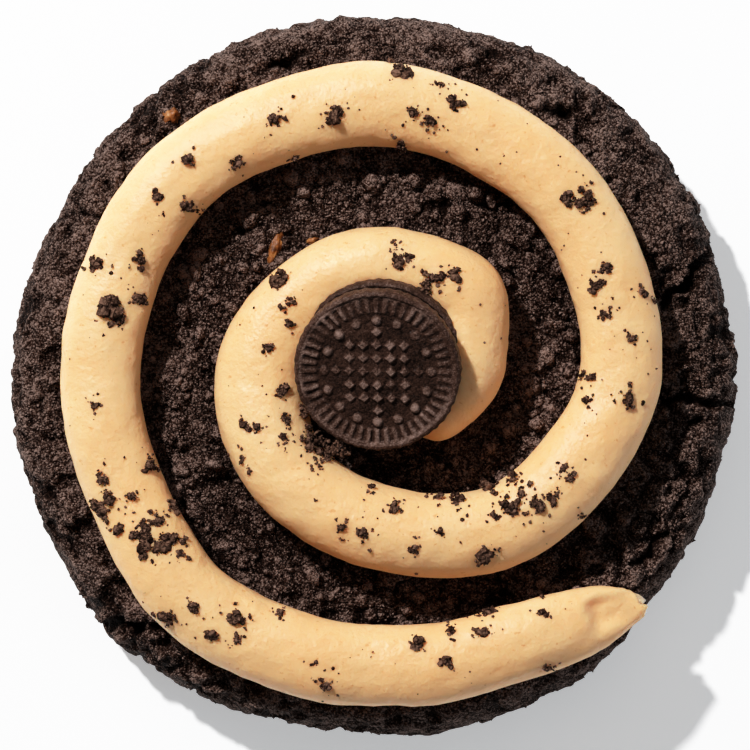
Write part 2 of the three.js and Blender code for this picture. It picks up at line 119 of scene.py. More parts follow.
# Grains and larger lumps of crumb in the crust: how many, and their smallest and largest sizes
GRAINS, GRAIN_SIZES = 24000, (0.28, 0.85)
CHUNKS, CHUNK_SIZES = 700, (1, 3.2)
# Where grains lie: room needed, lowest height, deepest crack, and the share that the rim loses
GRAIN_ROOM, LOWEST_GRAIN, GRAIN_CRACK, GRAIN_RIM_LOSS = 0.6, 1.5, 0.3, 0.85
# Where chunks lie: room needed, how level the crust is, share on its outer part, largest one there
CHUNK_ROOM, CHUNK_LEVEL, OUTER_CHUNK_SHARE, LARGEST_OUTER_CHUNK = 0.9, 0.9, 0.2, 2
# How far they stand out, in shares of their size
GRAIN_LIFT, GRAIN_RIM_SINK, CHUNK_LIFT = 0.2, 0.3, (-0.3, 0.08)
# How much of the crust's tone, above a base, they take on
TONE_BASE, GRAIN_TONE_SHARE, CHUNK_TONE_SHARE, CHUNK_DARKER = 0.4, 0.7, 0.4, 0.08

# Peanut pieces in the crust: [angle, radius, length, width, heading]
PEANUT_PIECES = [
    [128, 51.2, 3.4, 2.8, 40],
    [127.5, 25.1, 5.4, 1.9, 72],
    [114, 23.2, 1.9, 1.2, 20],
]
# How far they stand out of the crust round them, taken at this percentile of its heights
PEANUT_PROUD, PEANUT_BED = 0.3, 85
# Their unevenness: (rate, height)
PEANUT_WAVES = [(2.1, 0.22), (5, 0.12)]

# Swirl: [angle, distance from the middle, bead width, bead height]
SWIRL_KNOTS = np.array([
    [-55, 9.5, 11.5, 9], [-28, 10.2, 11.6, 10.8], [0, 13, 12.5, 11.6],
    [22, 15.5, 12.8, 12], [45, 18.5, 12.9, 12.4], [90, 16.95, 11.9, 12.2],
    [135, 16.1, 12.8, 12], [180, 17.2, 14.4, 12], [225, 19.4, 13, 12.8],
    [270, 23, 12.9, 13.2], [315, 31.1, 13, 12.2], [360, 38, 12.7, 10.4],
    [405, 40.8, 12.4, 10], [450, 42.05, 12.9, 10.2], [495, 42.7, 12.5, 9.7],
    [540, 42.25, 12.2, 9.6], [585, 43.7, 12.5, 10.2], [615, 44.3, 12.7, 9.8],
    [640, 45.1, 12.6, 9.6], [660, 47, 12, 9], [672, 50.3, 9.8, 6.8],
    [680, 54.3, 4.4, 3.4],
])
SWIRL_SIDES = 60
SWIRL_STEP = 0.5
SWIRL_FOOT_POWER = 0.6
SWIRL_CREST_POWER = 2.15
START_ROUND = 5.5
END_ROUND = 0.4
END_SHARE = 0.2
END_SLANT, END_TEAR, TEAR_WIDTH, TEAR_REACH = 0.26, 0.85, 0.9, 2.5
BED_RADIUS = 52
SWIRL_SUNK = 0.3
SCOOP = {
    "back": 7.4, "step": 2, "inner": -4, "wall": 2.4,
    "outer": 3.6, "slope": 3.8, "depth": 1.8, "tip": 0.1,
}
# Unevenness of the frosting: (size, height), and streaks along the bead
SWIRL_WAVES = [(9, 0.28), (3.2, 0.14), (1.2, 0.05)]
STREAK_LENGTH, STREAK_WIDTH, STREAK_HEIGHT = 8, 1.1, 0.07

# Crumbs on the swirl in patches: [angle, offset outwards, spread, largest crumb]
CRUMB_PATCHES = [
    [52, 1.6, 0.4, 2.4], [77, 0.8, 1, 2.3], [134, 4.6, 0.4, 3.3], [188, -3.4, 0.4, 2.2],
    [202, 2.9, 0.4, 2.4], [204, 1, 0.8, 1.9], [214, 4.7, 1, 1.9], [221, -5.4, 2, 2],
    [231, -5.6, 2.2, 2.2], [259, 1.6, 0.4, 1.9], [266, 1.1, 0.9, 2.1], [290, -5.9, 0.4, 2.1],
    [297, -5.7, 1, 2.5], [303, 3.7, 0.4, 3.2], [312, -6.4, 0.3, 3.5], [315, -2.4, 1.3, 2.9],
    [321, -5.6, 0.4, 2.1], [322, 0.1, 1.2, 2.8], [355, 1.6, 0.9, 2.5], [382, -2.5, 0.4, 2.4],
    [385, -0.2, 0.4, 2.5], [400, 1.4, 1.6, 2.5], [402, -0.4, 0.4, 2.3], [433, 2.3, 0.4, 2.3],
    [437, -1.6, 0.9, 2.1], [441, -1.1, 0.4, 2.1], [445, 5.1, 0.6, 3.4], [459, -1.9, 0.8, 3],
    [471, 0, 0.9, 2.3], [482, -3.4, 0.4, 2.2], [490, 1.3, 0.4, 2.2], [501, 0.5, 0.9, 2.1],
    [514, -2.1, 0.4, 2.5], [518, 3.7, 0.9, 2.5], [522, -4, 0.9, 2.1], [525, -0.5, 1.4, 4],
    [564, 2.3, 0.4, 2.1], [565, 4.7, 0.9, 3.1], [565, -0.9, 0.4, 1.9], [570, 3.1, 0.4, 2.2],
    [571, -5.8, 0.4, 2.3], [572, -3, 1, 1.9], [574, 0.5, 1.3, 2.9], [577, -2.3, 1.6, 3.5],
    [589, 4.8, 1, 2.4], [591, 0.5, 0.4, 1.9], [597, 2.3, 0.4, 2.2], [599, -1.8, 1.2, 2.5],
    [621, 3.4, 1.6, 2], [639, -3.7, 0.4, 3.1], [644, -0.4, 0.4, 2.4], [652, -3.3, 0.4, 2.3],
    [654, -5.9, 0.6, 2.7],
]
CRUMBS_PER_SPREAD = 1
CRUMB_RATIO = 0.72
SMALLEST_CRUMB = 1.6
# Heap of lumps and grains that makes a crumb, in shares of its size, and the smallest crumb made so
SMALLEST_CLUMP = 0.7
HEAP_REACH, HEAP_HEIGHT = 0.5, 0.5
HEAP_LENGTHS, HEAP_WIDTHS = (0.8, 1.15), (0.45, 0.85)
LOBES_PER_SIZE, LOBE_SIZES = 2.6, (0.32, 0.58)
GRAINS_PER_AREA, AREA_POWER = 11, 1.7
GRAIN_SPOTS = (0.4, 0.54)
# Size of a crumb's grains: a base, growth with the crumb, smallest share, and power of the spread
CLUMP_GRAIN, GRAIN_GROWTH, LEAST_GRAIN, GRAIN_POWER = 0.2, 0.06, 0.6, 1.6
CLUMP_JITTER = 0.35
# Crumbs are painted paler above this share of their size and darker below it: painted light on top,
# painted shade at their base
CRUMB_SHADE, CRUMB_SHADE_LEVEL = 0.4, 0.2

# Smaller patches that only the scene has
SMALL_PATCHES = [
    [58, 0.2, 0.6, 2.3], [63, -1.5, 0.5, 1.9], [81, 3.4, 1, 1.3], [139, 0.8, 0.8, 1.1],
    [147, -1.1, 0.2, 1.4], [164, 0, 0.6, 1.4], [204, -3.2, 0.9, 1.1], [215, -2, 1, 0.9],
    [237, -5.6, 0.4, 1.1], [263, -5.6, 0.5, 2.1], [276, -3.8, 1, 0.8], [284, 2.4, 0.6, 1.2],
    [291, -0.9, 0.4, 1.6], [309, -2.2, 0.4, 1.5], [321, -3.2, 0.8, 1.5], [327, 0.4, 1, 1.1],
    [333, -1.5, 1.2, 1.1], [328, 5.7, 0.3, 1.2], [351, -4.2, 0.4, 1.5], [358, -4.6, 0.6, 1.3],
    [369, 1.4, 0.4, 1.4], [376, -2.4, 0.9, 1.3], [378, 4.4, 0.9, 1.9], [437, 4.4, 0.8, 1],
    [442, -6, 0.3, 1.7], [470, -6.1, 0.3, 1.6], [497, -4.2, 1.2, 1.4], [527, -2.2, 0.6, 1.9],
    [546, 0.8, 0.7, 1.5], [560, 2.7, 0.8, 1.5], [561, -4.6, 0.5, 1.8], [577, 1.9, 0.4, 1.8],
    [581, -3.2, 0.8, 1.8], [602, 1, 0.7, 0.9], [608, -5.2, 0.5, 1.6], [618, 0.4, 0.4, 1.5],
    [646, -4.9, 0.8, 0.8], [662, 4.8, 0.4, 1.6], [664, -3.9, 1.2, 0.9],
]
# Crumbs caught between the swirl and the biscuit: how many, angles, radii and heights
GAP_CRUMBS, GAP_ANGLES, GAP_RADII, GAP_HEIGHTS = 46, (203, 250), (11.8, 13.6), (26.2, 28)
# Medium and fine crumbs round every patch: number for each millimetre of spread, spread added for that,
# sizes, and reach in shares of the largest crumb and of the spread
MEDIUM_SIZES = (0.7, 1.8)
SMALLER_CRUMBS = [(3.2, 0.3, MEDIUM_SIZES, (0.25, 0.55)), (7, 0.5, (0.3, 0.9), (0.4, 0.8))]
# Specks anywhere on the swirl: sizes, shares of its length and furthest offset
SPECKS, SPECK_SIZES, SPECK_STRETCH, SPECK_OFFSET = 190, (0.2, 0.5), (0.04, 0.98), 5.6
# Width of a scattered patch in shares of its length
SCATTER_NARROWNESS = 0.45
# Furthest from the bead's middle line that a crumb lies, in shares of its width
CRUMB_LIMIT = 0.49

# Sandwich biscuit
WAFER_RADIUS = 12.75
WAFER_THICKNESS = 2.9
WAFER_EDGE, WAFER_EDGE_STEPS = 0.7, 8
WAFER_BACK_RINGS, SMALLEST_BACK_RING, SMALLEST_FACE_RING = 6, 0.5, 0.1
CREAM_RADIUS = 10.8
CREAM_THICKNESS = 2.2
CREAM_EDGE, CREAM_EDGE_STEPS, CREAM_RINGS, CREAM_SIDES = 0.5, 12, [3, 8], 160
CREAM_WAVE_SIZE, CREAM_WAVE = 2.5, 0.02
SANDWICH_FOOT = (1.2, 3.2, 24.9)
SANDWICH_LEAN_ANGLE = 255
SANDWICH_TILT = 19
RIDGES = 48
RIDGE_INNER = 9.4
RIDGE_OUTER = 11.7
RIDGE_HEIGHT = 0.4
RIDGE_SIDES, RIDGE_FADE = (0.15, 0.85), 0.5
BAND_INSIDE, BAND_OUTSIDE = 0.35, 0.15
FIELD_DEPTH = 0.45
SCALLOP = 0.06
PIPS = 16
PIP_RING_RADIUS = 8.15
PIP_RADIUS, PIP_FLATNESS = 0.8, 0.8
STUD_PITCH = 2.1
STUD_RADIUS = 1.05
STUD_HEIGHT, STUD_SLOPE = 0.5, 0.5
STUD_FIELD_RADIUS = 6.4
# Tones of the pressed face, the edge, and the backs, whose dark tone is painted shade in the gap between
# the wafers
FACE_TONE, EDGE_TONE, BACK_PAINTED_SHADE = 0.34, 0.52, 0.12
MIDDLE_TONES = (0.4, 0.5)
# Uneven baking: (size, height, shifts of the noise for x, y and z), wear of the face, patches of tone
WAFER_WAVES = [(0.7, 0.07, (5, 50, 90)), (3.5, 0.1, (15, 60, 30))]
WEAR_SIZE, WEAR_MEAN, WEAR_RANGE = 2.8, 0.75, 0.45
WAFER_PATCH_SIZE, WAFER_PATCH = 2.2, 0.12

# Picture: straight down from far away, with the light from the upper left
CAMERA_SPOT = (0.24, 0.27, 650)
CAMERA_LENS = 195.5
SENSOR_WIDTH, CLIP_END = 36, 20
# Lamps: name, angle, elevation, size in metres, watts and colour
LAMP_DISTANCE = 1.4
LAMPS = [
    ("key", 128, 47, 0.07, 23.4, (1, 1, 1)),
    ("fill", 80, 60, 1, 1.3, (1, 1, 1)),
    ("low_fill", 342, 24, 0.7, 2.4, (0.82, 1, 1.16)),
]
SKY_COLOUR, SKY_STRENGTH = (1, 0.98, 0.98, 1), 0.08
FLOOR_SIZE, FLOOR_DROP, FLOOR_GLOW = 4, 0.1, 0.35

# Camera's answer to light: [light that comes in, light in the picture]
TONE_CURVE = [
    [0, 0], [0.03, 0.02], [0.1, 0.085], [0.25, 0.25],
    [0.5, 0.54], [0.8, 0.79], [1.1, 0.94], [1.6, 1],
]


# Small helpers


def fade(value, low, high):
    share = np.clip((value - low) / (high - low), 0, 1)
    return share * share * (3 - 2 * share)


def polar(angle, radius):
    turn = np.radians(angle)
    return np.column_stack([radius * np.cos(turn), radius * np.sin(turn)])


def draw(seed):
    """The solids' repeatable random number from 0 to 1."""
    wave = np.sin(seed * 12.9898 + 4.1414) * 43758.5453
    return wave - np.floor(wave)


LATTICE = np.array([17, 59, 131])


def noise(points):
    """The solids' smooth noise from -1 to 1, with one random value for each lattice point."""
    cell = np.floor(points)
    part = fade(points - cell, 0, 1)
    total = np.zeros(len(points))
    for corner in itertools.product((0, 1), repeat=3):
        weight = np.where(corner, part, 1 - part).prod(axis=1)
        total += weight * draw((cell + corner) @ LATTICE)
    return 2 * total - 1


def pebbles(points):
    """Distances to the nearest two random spots, one in each unit cell, and the nearest one's number."""
    cell = np.floor(points)
    nearest, second = np.full((2, len(points)), 9.0)
    tag = np.zeros(len(points))
    for offset in itertools.product((-1, 0, 1), repeat=3):
        home = cell + offset
        seed = home @ LATTICE
        spot = home + np.column_stack([draw(seed + 0.11), draw(seed + 0.23), draw(seed + 0.37)])
        distance = np.linalg.norm(points - spot, axis=1)
        second = np.minimum(second, np.maximum(nearest, distance))
        closer = distance < nearest
        nearest[closer] = distance[closer]
        tag[closer] = draw(seed + 0.71)[closer]
    return nearest, second, tag


def spline(values, share):
    """Curve through rows of values, at shares from 0 to 1 counted in knots."""
    last = len(values) - 1
    place = np.clip(share * last, 0, last - 1e-9)
    i = place.astype(int)
    t = (place - i)[:, None]
    start, end = values[i], values[i + 1]
    leave = (end - values[np.maximum(i - 1, 0)]) / 2
    arrive = (values[np.minimum(i + 2, last)] - start) / 2
    cubic = 2 * start - 2 * end + leave + arrive
    square = 3 * end - 3 * start - 2 * leave - arrive
    return ((cubic * t + square) * t + leave) * t + start


def new_object(name, data):
    made = bpy.data.objects.new(name, data)
    bpy.context.scene.collection.objects.link(made)
    return made


def piece(name, shape, look, smooth=True):
    """A mesh that rides on the part, from points, triangles and, for baked crumb, the points' tones."""
    points, faces, *tones = shape
    mesh = bpy.data.meshes.new(name)
    mesh.vertices.add(len(points))
    mesh.vertices.foreach_set("co", (points * MM).astype(np.float32).ravel())
    mesh.loops.add(faces.size)
    mesh.loops.foreach_set("vertex_index", faces.astype(np.int32).ravel())
    mesh.polygons.add(len(faces))
    mesh.polygons.foreach_set("loop_start", np.arange(0, faces.size, 3, dtype=np.int32))
    mesh.update(calc_edges=True)
    if not smooth:
        mesh.shade_flat()
    for tone in tones:
        layer = mesh.attributes.new("tone", "FLOAT", "POINT")
        layer.data.foreach_set("value", tone.astype(np.float32))
    mesh.materials.append(look)
    made = new_object(name, mesh)
    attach(made, "root")
    return made


def tube_faces(rings, sides):
    """Triangles of a closed tube: rings of points, then the middle points of its first and last ends."""
    ring, side = np.meshgrid(np.arange(rings - 1), np.arange(sides), indexing="ij")
    a = ring * sides + side
    b = ring * sides + (side + 1) % sides
    c, d = a + sides, b + sides
    walls = [np.stack([a, b, d], -1).reshape(-1, 3), np.stack([a, d, c], -1).reshape(-1, 3)]
    i = np.arange(sides)
    j = (i + 1) % sides
    first, last = np.full(sides, rings * sides), np.full(sides, rings * sides + 1)
    top = (rings - 1) * sides
    ends = [np.stack([first, j, i], -1), np.stack([last, top + i, top + j], -1)]
    return np.concatenate(walls + ends)


def icosphere(level):
    """Points and triangles of a ball; level 0 is an octahedron."""
    if level == 0:
        points = np.concatenate([np.eye(3), -np.eye(3)])
        faces = [[a, b + 1, c + 2] for a, b, c in itertools.product((0, 3), repeat=3)]
        flips = [sum(corner >= 3 for corner in face) % 2 for face in faces]
        return points, np.array([face[::-1] if flip else face for face, flip in zip(faces, flips)])
    shape = bmesh.new()
    bmesh.ops.create_icosphere(shape, subdivisions=level, radius=1)
    points = np.array([vert.co[:] for vert in shape.verts])
    faces = np.array([[vert.index for vert in face.verts] for face in shape.faces])
    shape.free()
    return points, faces


def random_turns(count):
    """Random rotation matrices."""
    quaternions = rng.standard_normal((4, count))
    w, x, y, z = quaternions / np.linalg.norm(quaternions, axis=0)
    rows = [
        [1 - 2 * (y * y + z * z), 2 * (x * y - z * w), 2 * (x * z + y * w)],
        [2 * (x * y + z * w), 1 - 2 * (x * x + z * z), 2 * (y * z - x * w)],
        [2 * (x * z - y * w), 2 * (y * z + x * w), 1 - 2 * (x * x + y * y)],
    ]
    return np.moveaxis(np.array(rows), 2, 0)


def random_sizes(limits, count, power=2):
    """Sizes between two limits, with more small ones than large ones."""
    small, large = limits
    return small + (large - small) * rng.random(count) ** power


# Rough lumps: stretch along each axis, mean tone, and how much height and chance change it; the change
# with height is painted light on top and painted shade below
LUMP_STRETCH = (0.7, 1.25)
LUMP_TONE, LUMP_SHADE_BY_HEIGHT, LUMP_TONE_SPREAD = 0.45, 0.3, 0.35


def lumps(centres, sizes, level, jitter=0.3):
    """Rough uneven lumps: their points, triangles and, for each point, a tone with painted shade below and
    painted light on top.
    """
    shape, faces = icosphere(level)
    count = len(centres)
    swell = 1 + jitter * rng.uniform(-1, 1, (count, len(shape), 1))
    stretch = rng.uniform(*LUMP_STRETCH, (count, 1, 3))
    turned = np.einsum("nij,nvj->nvi", random_turns(count), shape * swell * stretch)
    points = centres[:, None] + turned * sizes[:, None, None] / 2
    own = LUMP_TONE_SPREAD * (rng.random((count, 1)) - 0.5)
    # Painted light on top of each lump and painted shade below it
    tone = LUMP_TONE + LUMP_SHADE_BY_HEIGHT * turned[:, :, 2] + own
    offsets = np.arange(count)[:, None, None] * len(shape)
    return points.reshape(-1, 3), (faces + offsets).reshape(-1, 3), tone.ravel()


def joined(parts):
    """Several (points, triangles, tone) as one."""
    points, faces, tones = zip(*parts)
    starts = np.cumsum([0] + [len(p) for p in points[:-1]])
    shifted = [part + start for part, start in zip(faces, starts)]
    return np.concatenate(points), np.concatenate(shifted), np.concatenate(tones)


# Line of the swirl

# Samples of the line, steps from one station for distances to the next, and batches to save memory
LINE_SAMPLES, STATION_STEP, BATCHES = 4001, 10, 40
ROUTE = polar(SWIRL_KNOTS[:, 0], SWIRL_KNOTS[:, 1])
SHARES = np.linspace(0, 1, LINE_SAMPLES)
LINE = spline(ROUTE, SHARES)
LENGTHS = np.concatenate([[0], np.cumsum(np.linalg.norm(np.diff(LINE, axis=0), axis=1))])
AHEAD = np.gradient(LINE, axis=0)
AHEAD /= np.linalg.norm(AHEAD, axis=1, keepdims=True)
SWIRL_LENGTH = LENGTHS[-1]


def along_line(values, length):
    return np.column_stack([np.interp(length, LENGTHS, column) for column in values.T])


def length_at_angle(angle):
    share = np.interp(angle, SWIRL_KNOTS[:, 0], np.linspace(0, 1, len(SWIRL_KNOTS)))
    return np.interp(share, SHARES, LENGTHS)


def reach_from_swirl(points):
    """Distance from the bead's middle line, in shares of its half width there."""
    stations = LINE[::STATION_STEP]
    half = spline(SWIRL_KNOTS[:, 2:3], SHARES[::STATION_STEP])[:, 0] / 2
    nearest = [
        (np.linalg.norm(batch[:, None, :2] - stations[None], axis=2) / half).min(axis=1)
        for batch in np.array_split(points, BATCHES)
    ]
    return np.concatenate(nearest)


# Cookie


def cookie_top(radius):
    share = np.minimum(radius / COOKIE_RADIUS, 1)
    return WAIST_HEIGHT + DOME * np.sqrt(1 - share**SHOULDER_POWER)


def crust_profile(count):
    """Radius and height at even steps from the top's middle to the edge of the underside."""
    turn = np.linspace(0, np.pi / 2, PROFILE_SAMPLES)
    radius = COOKIE_RADIUS * np.sin(turn) ** (2 / SHOULDER_POWER)
    foot = COOKIE_RADIUS - UNDERSIDE_RADIUS
    radius = np.concatenate([radius, UNDERSIDE_RADIUS + foot * np.cos(turn[1:])])
    height = np.concatenate([WAIST_HEIGHT + DOME * np.cos(turn), WAIST_HEIGHT * (1 - np.sin(turn[1:]))])
    length = np.concatenate([[0], np.cumsum(np.hypot(np.diff(radius), np.diff(height)))])
    steps = np.linspace(0, length[-1], count + 1)
    return np.interp(steps, length, radius), np.interp(steps, length, height)


def crust_grid():
    """Even triangles over the top and the side: rings of 8, 16, 24 and more points, and a fan below."""
    radius, height = crust_profile(CRUST_RINGS)
    points, faces, start = [[[0, 0, height[0]]]], [], 0
    for k in range(1, CRUST_RINGS + 1):
        i = np.arange(8 * k)
        spots = polar(360 * i / (8 * k), radius[k])
        points.append(np.column_stack([spots, np.full(8 * k, height[k])]))
        octant, place = i // k, i % k
        inner_count = max(8 * (k - 1), 1)
        outer = start + inner_count
        inner = start + (octant * (k - 1) + place) % inner_count
        inner_next = start + (octant * (k - 1) + place + 1) % inner_count
        following = outer + (i + 1) % (8 * k)
        faces.append(np.column_stack([inner, outer + i, following]))
        faces.append(np.column_stack([inner, following, inner_next])[place < k - 1])
        start = outer
    rim = start + i
    middle = np.full(len(i), start + len(i))
    points.append(np.zeros((1, 3)))
    faces.append(np.column_stack([rim, middle, start + (i + 1) % len(i)]))
    return np.concatenate(points), np.concatenate(faces)


def cookie_normals(points):
    radius = np.hypot(points[:, 0], points[:, 1])
    lift = np.maximum(points[:, 2] - WAIST_HEIGHT, 0)
    outward = SHOULDER_POWER / COOKIE_RADIUS * (radius / COOKIE_RADIUS) ** (SHOULDER_POWER - 1)
    side = outward / np.maximum(radius, 1e-6)
    normals = np.column_stack([points[:, 0] * side, points[:, 1] * side, 2 * lift / DOME**2])
    return normals / np.maximum(np.linalg.norm(normals, axis=1, keepdims=True), 1e-9)


def rim_radius(points):
    angle = np.degrees(np.arctan2(points[:, 1], points[:, 0])) % 360
    row = np.searchsorted(RIM[:, 0], angle, side="right")
    (start, first), (end, second) = RIM[row - 1].T, RIM[row].T
    return first + (second - first) * fade(angle, start, end)


def crack_depth(points):
    """How far each point lies below the crust in the cracks, with ragged edges."""
    depth = np.zeros(len(points))
    ragged = sum(reach * noise(points / size) for size, reach in CRACK_RAGS)
    for number, (angle_a, radius_a, angle_b, radius_b, width, deep) in enumerate(CRACKS):
        along = np.linspace(0, 1, CRACK_STEPS + 1)
        spots = polar(angle_a + (angle_b - angle_a) * along, radius_a + (radius_b - radius_a) * along)
        ahead = (spots[-1] - spots[0]) / np.linalg.norm(spots[-1] - spots[0])
        wander = CRACK_WANDER * (2 * draw(number * 31 + np.arange(CRACK_STEPS + 1)) - 1)
        spots = spots + wander[:, None] * [-ahead[1], ahead[0]]
        swell = CRACK_THIN + (1 - CRACK_THIN) * np.sin(np.pi * np.clip(along, *CRACK_SPAN))
        for i in range(CRACK_STEPS):
            step = spots[i + 1] - spots[i]
            share = np.clip((points[:, :2] - spots[i]) @ step / (step @ step), 0, 1)
            distance = np.linalg.norm(points[:, :2] - spots[i] - share[:, None] * step, axis=1)
            size = swell[i] + (swell[i + 1] - swell[i]) * share
            cut = 1 - (distance + ragged) / (CRACK_OPENING * width * size)
            depth = np.maximum(depth, deep * size * np.clip(cut, 0, 1) ** CRACK_WALL)
    return depth * (points[:, 2] > WAIST_HEIGHT)


def crust():
    """The crust's points, triangles, normals before the relief, tones and room for grains, from 0 to 1."""
    points, faces = crust_grid()
    normals = cookie_normals(points)
    lumpy = LUMP_HEIGHT * noise(points / LUMP_SIZE) + CRAG_HEIGHT * noise(points / CRAG_SIZE)
    warp = [noise(points / WARP_SIZE + shift) for shift in (3, 40, 77)]
    warped = points + WARP_REACH * np.column_stack(warp)
    chunk, chunk_next, chunk_tag = pebbles(warped / CHUNK_SIZE)
    cobble, _, cobble_tag = pebbles(warped / COBBLE_SIZE)
    pebble, _, pebble_tag = pebbles(warped / PEBBLE_SIZE)
    creviced = fade(noise(points / CREVICE_PATCH_SIZE + 30), *CREVICE_PATCH_EDGE)
    crevice = (1 - fade(chunk_next - chunk, 0, CREVICE_WIDTH)) * creviced
    pit = fade(noise(warped / PIT_SIZE + 60), PIT_EDGE, PIT_EDGE + PIT_SLOPE)
    radius = np.hypot(points[:, 0], points[:, 1])
    far_side = points[:, 1] / COOKIE_RADIUS
    outer_rough = OUTER_ROUGHNESS + FAR_ROUGHNESS * far_side
    outside = fade(radius, *OUTER_FADE)
    rough = INNER_ROUGHNESS + (outer_rough - INNER_ROUGHNESS) * outside
    hollow = CREVICE_DEPTH * crevice + PIT_DEPTH * pit
    hollow = hollow * (INNER_HOLLOWS + (1 - INNER_HOLLOWS) * outside)
    grit = GRIT_HEIGHT * noise(points / GRIT_SIZE)
    # Each cobble and pebble has its own height
    fine = COBBLE_HEIGHT * (PEBBLE_LEVEL - cobble) * (0.6 + 0.8 * cobble_tag)
    fine += PEBBLE_HEIGHT * (PEBBLE_LEVEL - pebble) * (0.5 + pebble_tag) + grit
    upright = np.hypot(normals[:, 0], normals[:, 1])
    outward = (rim_radius(points) - COOKIE_RADIUS) * upright
    clear = fade(reach_from_swirl(points), SEAT_INNER, SEAT_OUTER)
    upper = points[:, 2] > WAIST_HEIGHT
    foot = fade(points[:, 2], 0, CALM_FOOT)
    cracks = crack_depth(points)
    shown = np.where(upper, clear, foot)
    rise = lumpy * (1 - RIM_CALM * upright) + rough * fine * (1 - FINE_RIM_CALM * upright)
    rise -= hollow * (1 - HOLLOW_RIM_CALM * upright)
    rise += RIM_BUMP_HEIGHT * upright * noise(points / RIM_BUMP_SIZE)
    rise = rise * shown + outward * foot - cracks
    # Painted shade in the low fine relief, in cracks and in hollows
    tone = CRUST_TONE + FINE_RELIEF_SHADE * fine - CRACK_SHADE * cracks - HOLLOW_SHADE * hollow
    # Painted light: the outer crust is paler, more so towards the far side
    tone += (OUTER_PAINTED_LIGHT + FAR_PAINTED_LIGHT * np.maximum(far_side, 0)) * outside
    # Painted shade in the near groove, inside the swirl
    tone -= NEAR_GROOVE_SHADE * np.maximum(-far_side, 0) * (1 - outside)
    patches = TONE_PATCH * noise(points / TONE_PATCH_SIZE)
    tone += CHUNK_TONE * (chunk_tag - 0.5) + COBBLE_TONE * (cobble_tag - 0.5) + patches
    room = clear * foot * (cracks < GRAIN_CRACK)
    return points + normals * rise[:, None], faces, normals, tone, room


def grains(points, normals, tone, room):
    """Small angular grains half sunk in the crust where it shows, painted with part of the tone of the
    crust round them, its painted light and shade included.
    """
    upright = np.hypot(normals[:, 0], normals[:, 1])
    share = (room > GRAIN_ROOM) * (points[:, 2] > LOWEST_GRAIN) * (1 - GRAIN_RIM_LOSS * upright)
    chosen = rng.choice(len(points), GRAINS, replace=False, p=share / share.sum())
    sizes = random_sizes(GRAIN_SIZES, GRAINS)
    lift = (rng.uniform(-GRAIN_LIFT, GRAIN_LIFT, GRAINS) - GRAIN_RIM_SINK * upright[chosen]) * sizes
    spots, faces, own = lumps(points[chosen] + normals[chosen] * lift[:, None], sizes, 0)
    taken = GRAIN_TONE_SHARE * np.repeat(tone[chosen] - TONE_BASE, len(own) // GRAINS)
    return spots, faces, own + taken


def chunks(points, normals, tone, room):
    """Lumps of crumb half sunk in the crust, most of them between the turns of the swirl."""
    radius = np.hypot(points[:, 0], points[:, 1])
    share = np.where(radius < INNER_CRUST, 1, OUTER_CHUNK_SHARE)
    share = share * (room > CHUNK_ROOM) * (normals[:, 2] > CHUNK_LEVEL)
    chosen = rng.choice(len(points), CHUNKS, replace=False, p=share / share.sum())
    sizes = random_sizes(CHUNK_SIZES, CHUNKS, power=2.5)
    sizes = np.where(radius[chosen] < INNER_CRUST, sizes, np.minimum(sizes, LARGEST_OUTER_CHUNK))
    lift = rng.uniform(*CHUNK_LIFT, CHUNKS) * sizes
    spots, faces, own = lumps(points[chosen] + normals[chosen] * lift[:, None], sizes, 2, 0.25)
    taken = CHUNK_TONE_SHARE * np.repeat(tone[chosen] - TONE_BASE, len(own) // CHUNKS)
    return spots, faces, own - CHUNK_DARKER + taken


def peanut_pieces(crust_points):
    """Uneven lumps of peanut that stand a little out of the crust, without tones."""
    parts = []
    for angle, radius, length, width, heading in PEANUT_PIECES:
        shape, faces = icosphere(4)
        uneven = 1
        for rate, height in PEANUT_WAVES:
            uneven = uneven + height * noise(shape * rate + angle)
        local = shape * uneven[:, None] * [length, width, width] / 2
        turn = math.radians(heading)
        x = local[:, 0] * math.cos(turn) - local[:, 1] * math.sin(turn)
        y = local[:, 0] * math.sin(turn) + local[:, 1] * math.cos(turn)
        middle = polar(angle, radius)[0]
        beside = np.linalg.norm(crust_points[:, :2] - middle, axis=1) < length / 2
        lumps_round = crust_points[beside & (crust_points[:, 2] > WAIST_HEIGHT), 2]
        level = np.percentile(lumps_round, PEANUT_BED) + PEANUT_PROUD - width / 2
        points = np.column_stack([middle[0] + x, middle[1] + y, level + local[:, 2]])
        parts.append((points, faces, np.zeros(len(points))))
    return joined(parts)[:2]


# Swirl


def bead_size(length):
    """Width and height of the bead, rounded off at both ends."""
    size = spline(SWIRL_KNOTS[:, 2:], np.interp(length, LENGTHS, SHARES))
    from_start = np.minimum(length / START_ROUND, 1)
    from_end = np.minimum((SWIRL_LENGTH - length) / END_ROUND, 1)
    rounded = np.sqrt(1 - (1 - from_start) ** 2) * np.sqrt(1 - (1 - from_end) ** 2)
    return size * np.maximum(rounded, END_SHARE)[:, None]


def bead_point(length, across, height):
    """Points at lengths along the bead, at offsets to its right and heights over its bed."""
    middle = along_line(LINE, length)
    ahead = along_line(AHEAD, length)
    x = middle[:, 0] + ahead[:, 1] * across
    y = middle[:, 1] - ahead[:, 0] * across
    bed = cookie_top(np.minimum(np.hypot(x, y), BED_RADIUS)) - SWIRL_SUNK
    return np.column_stack([x, y, bed + height])


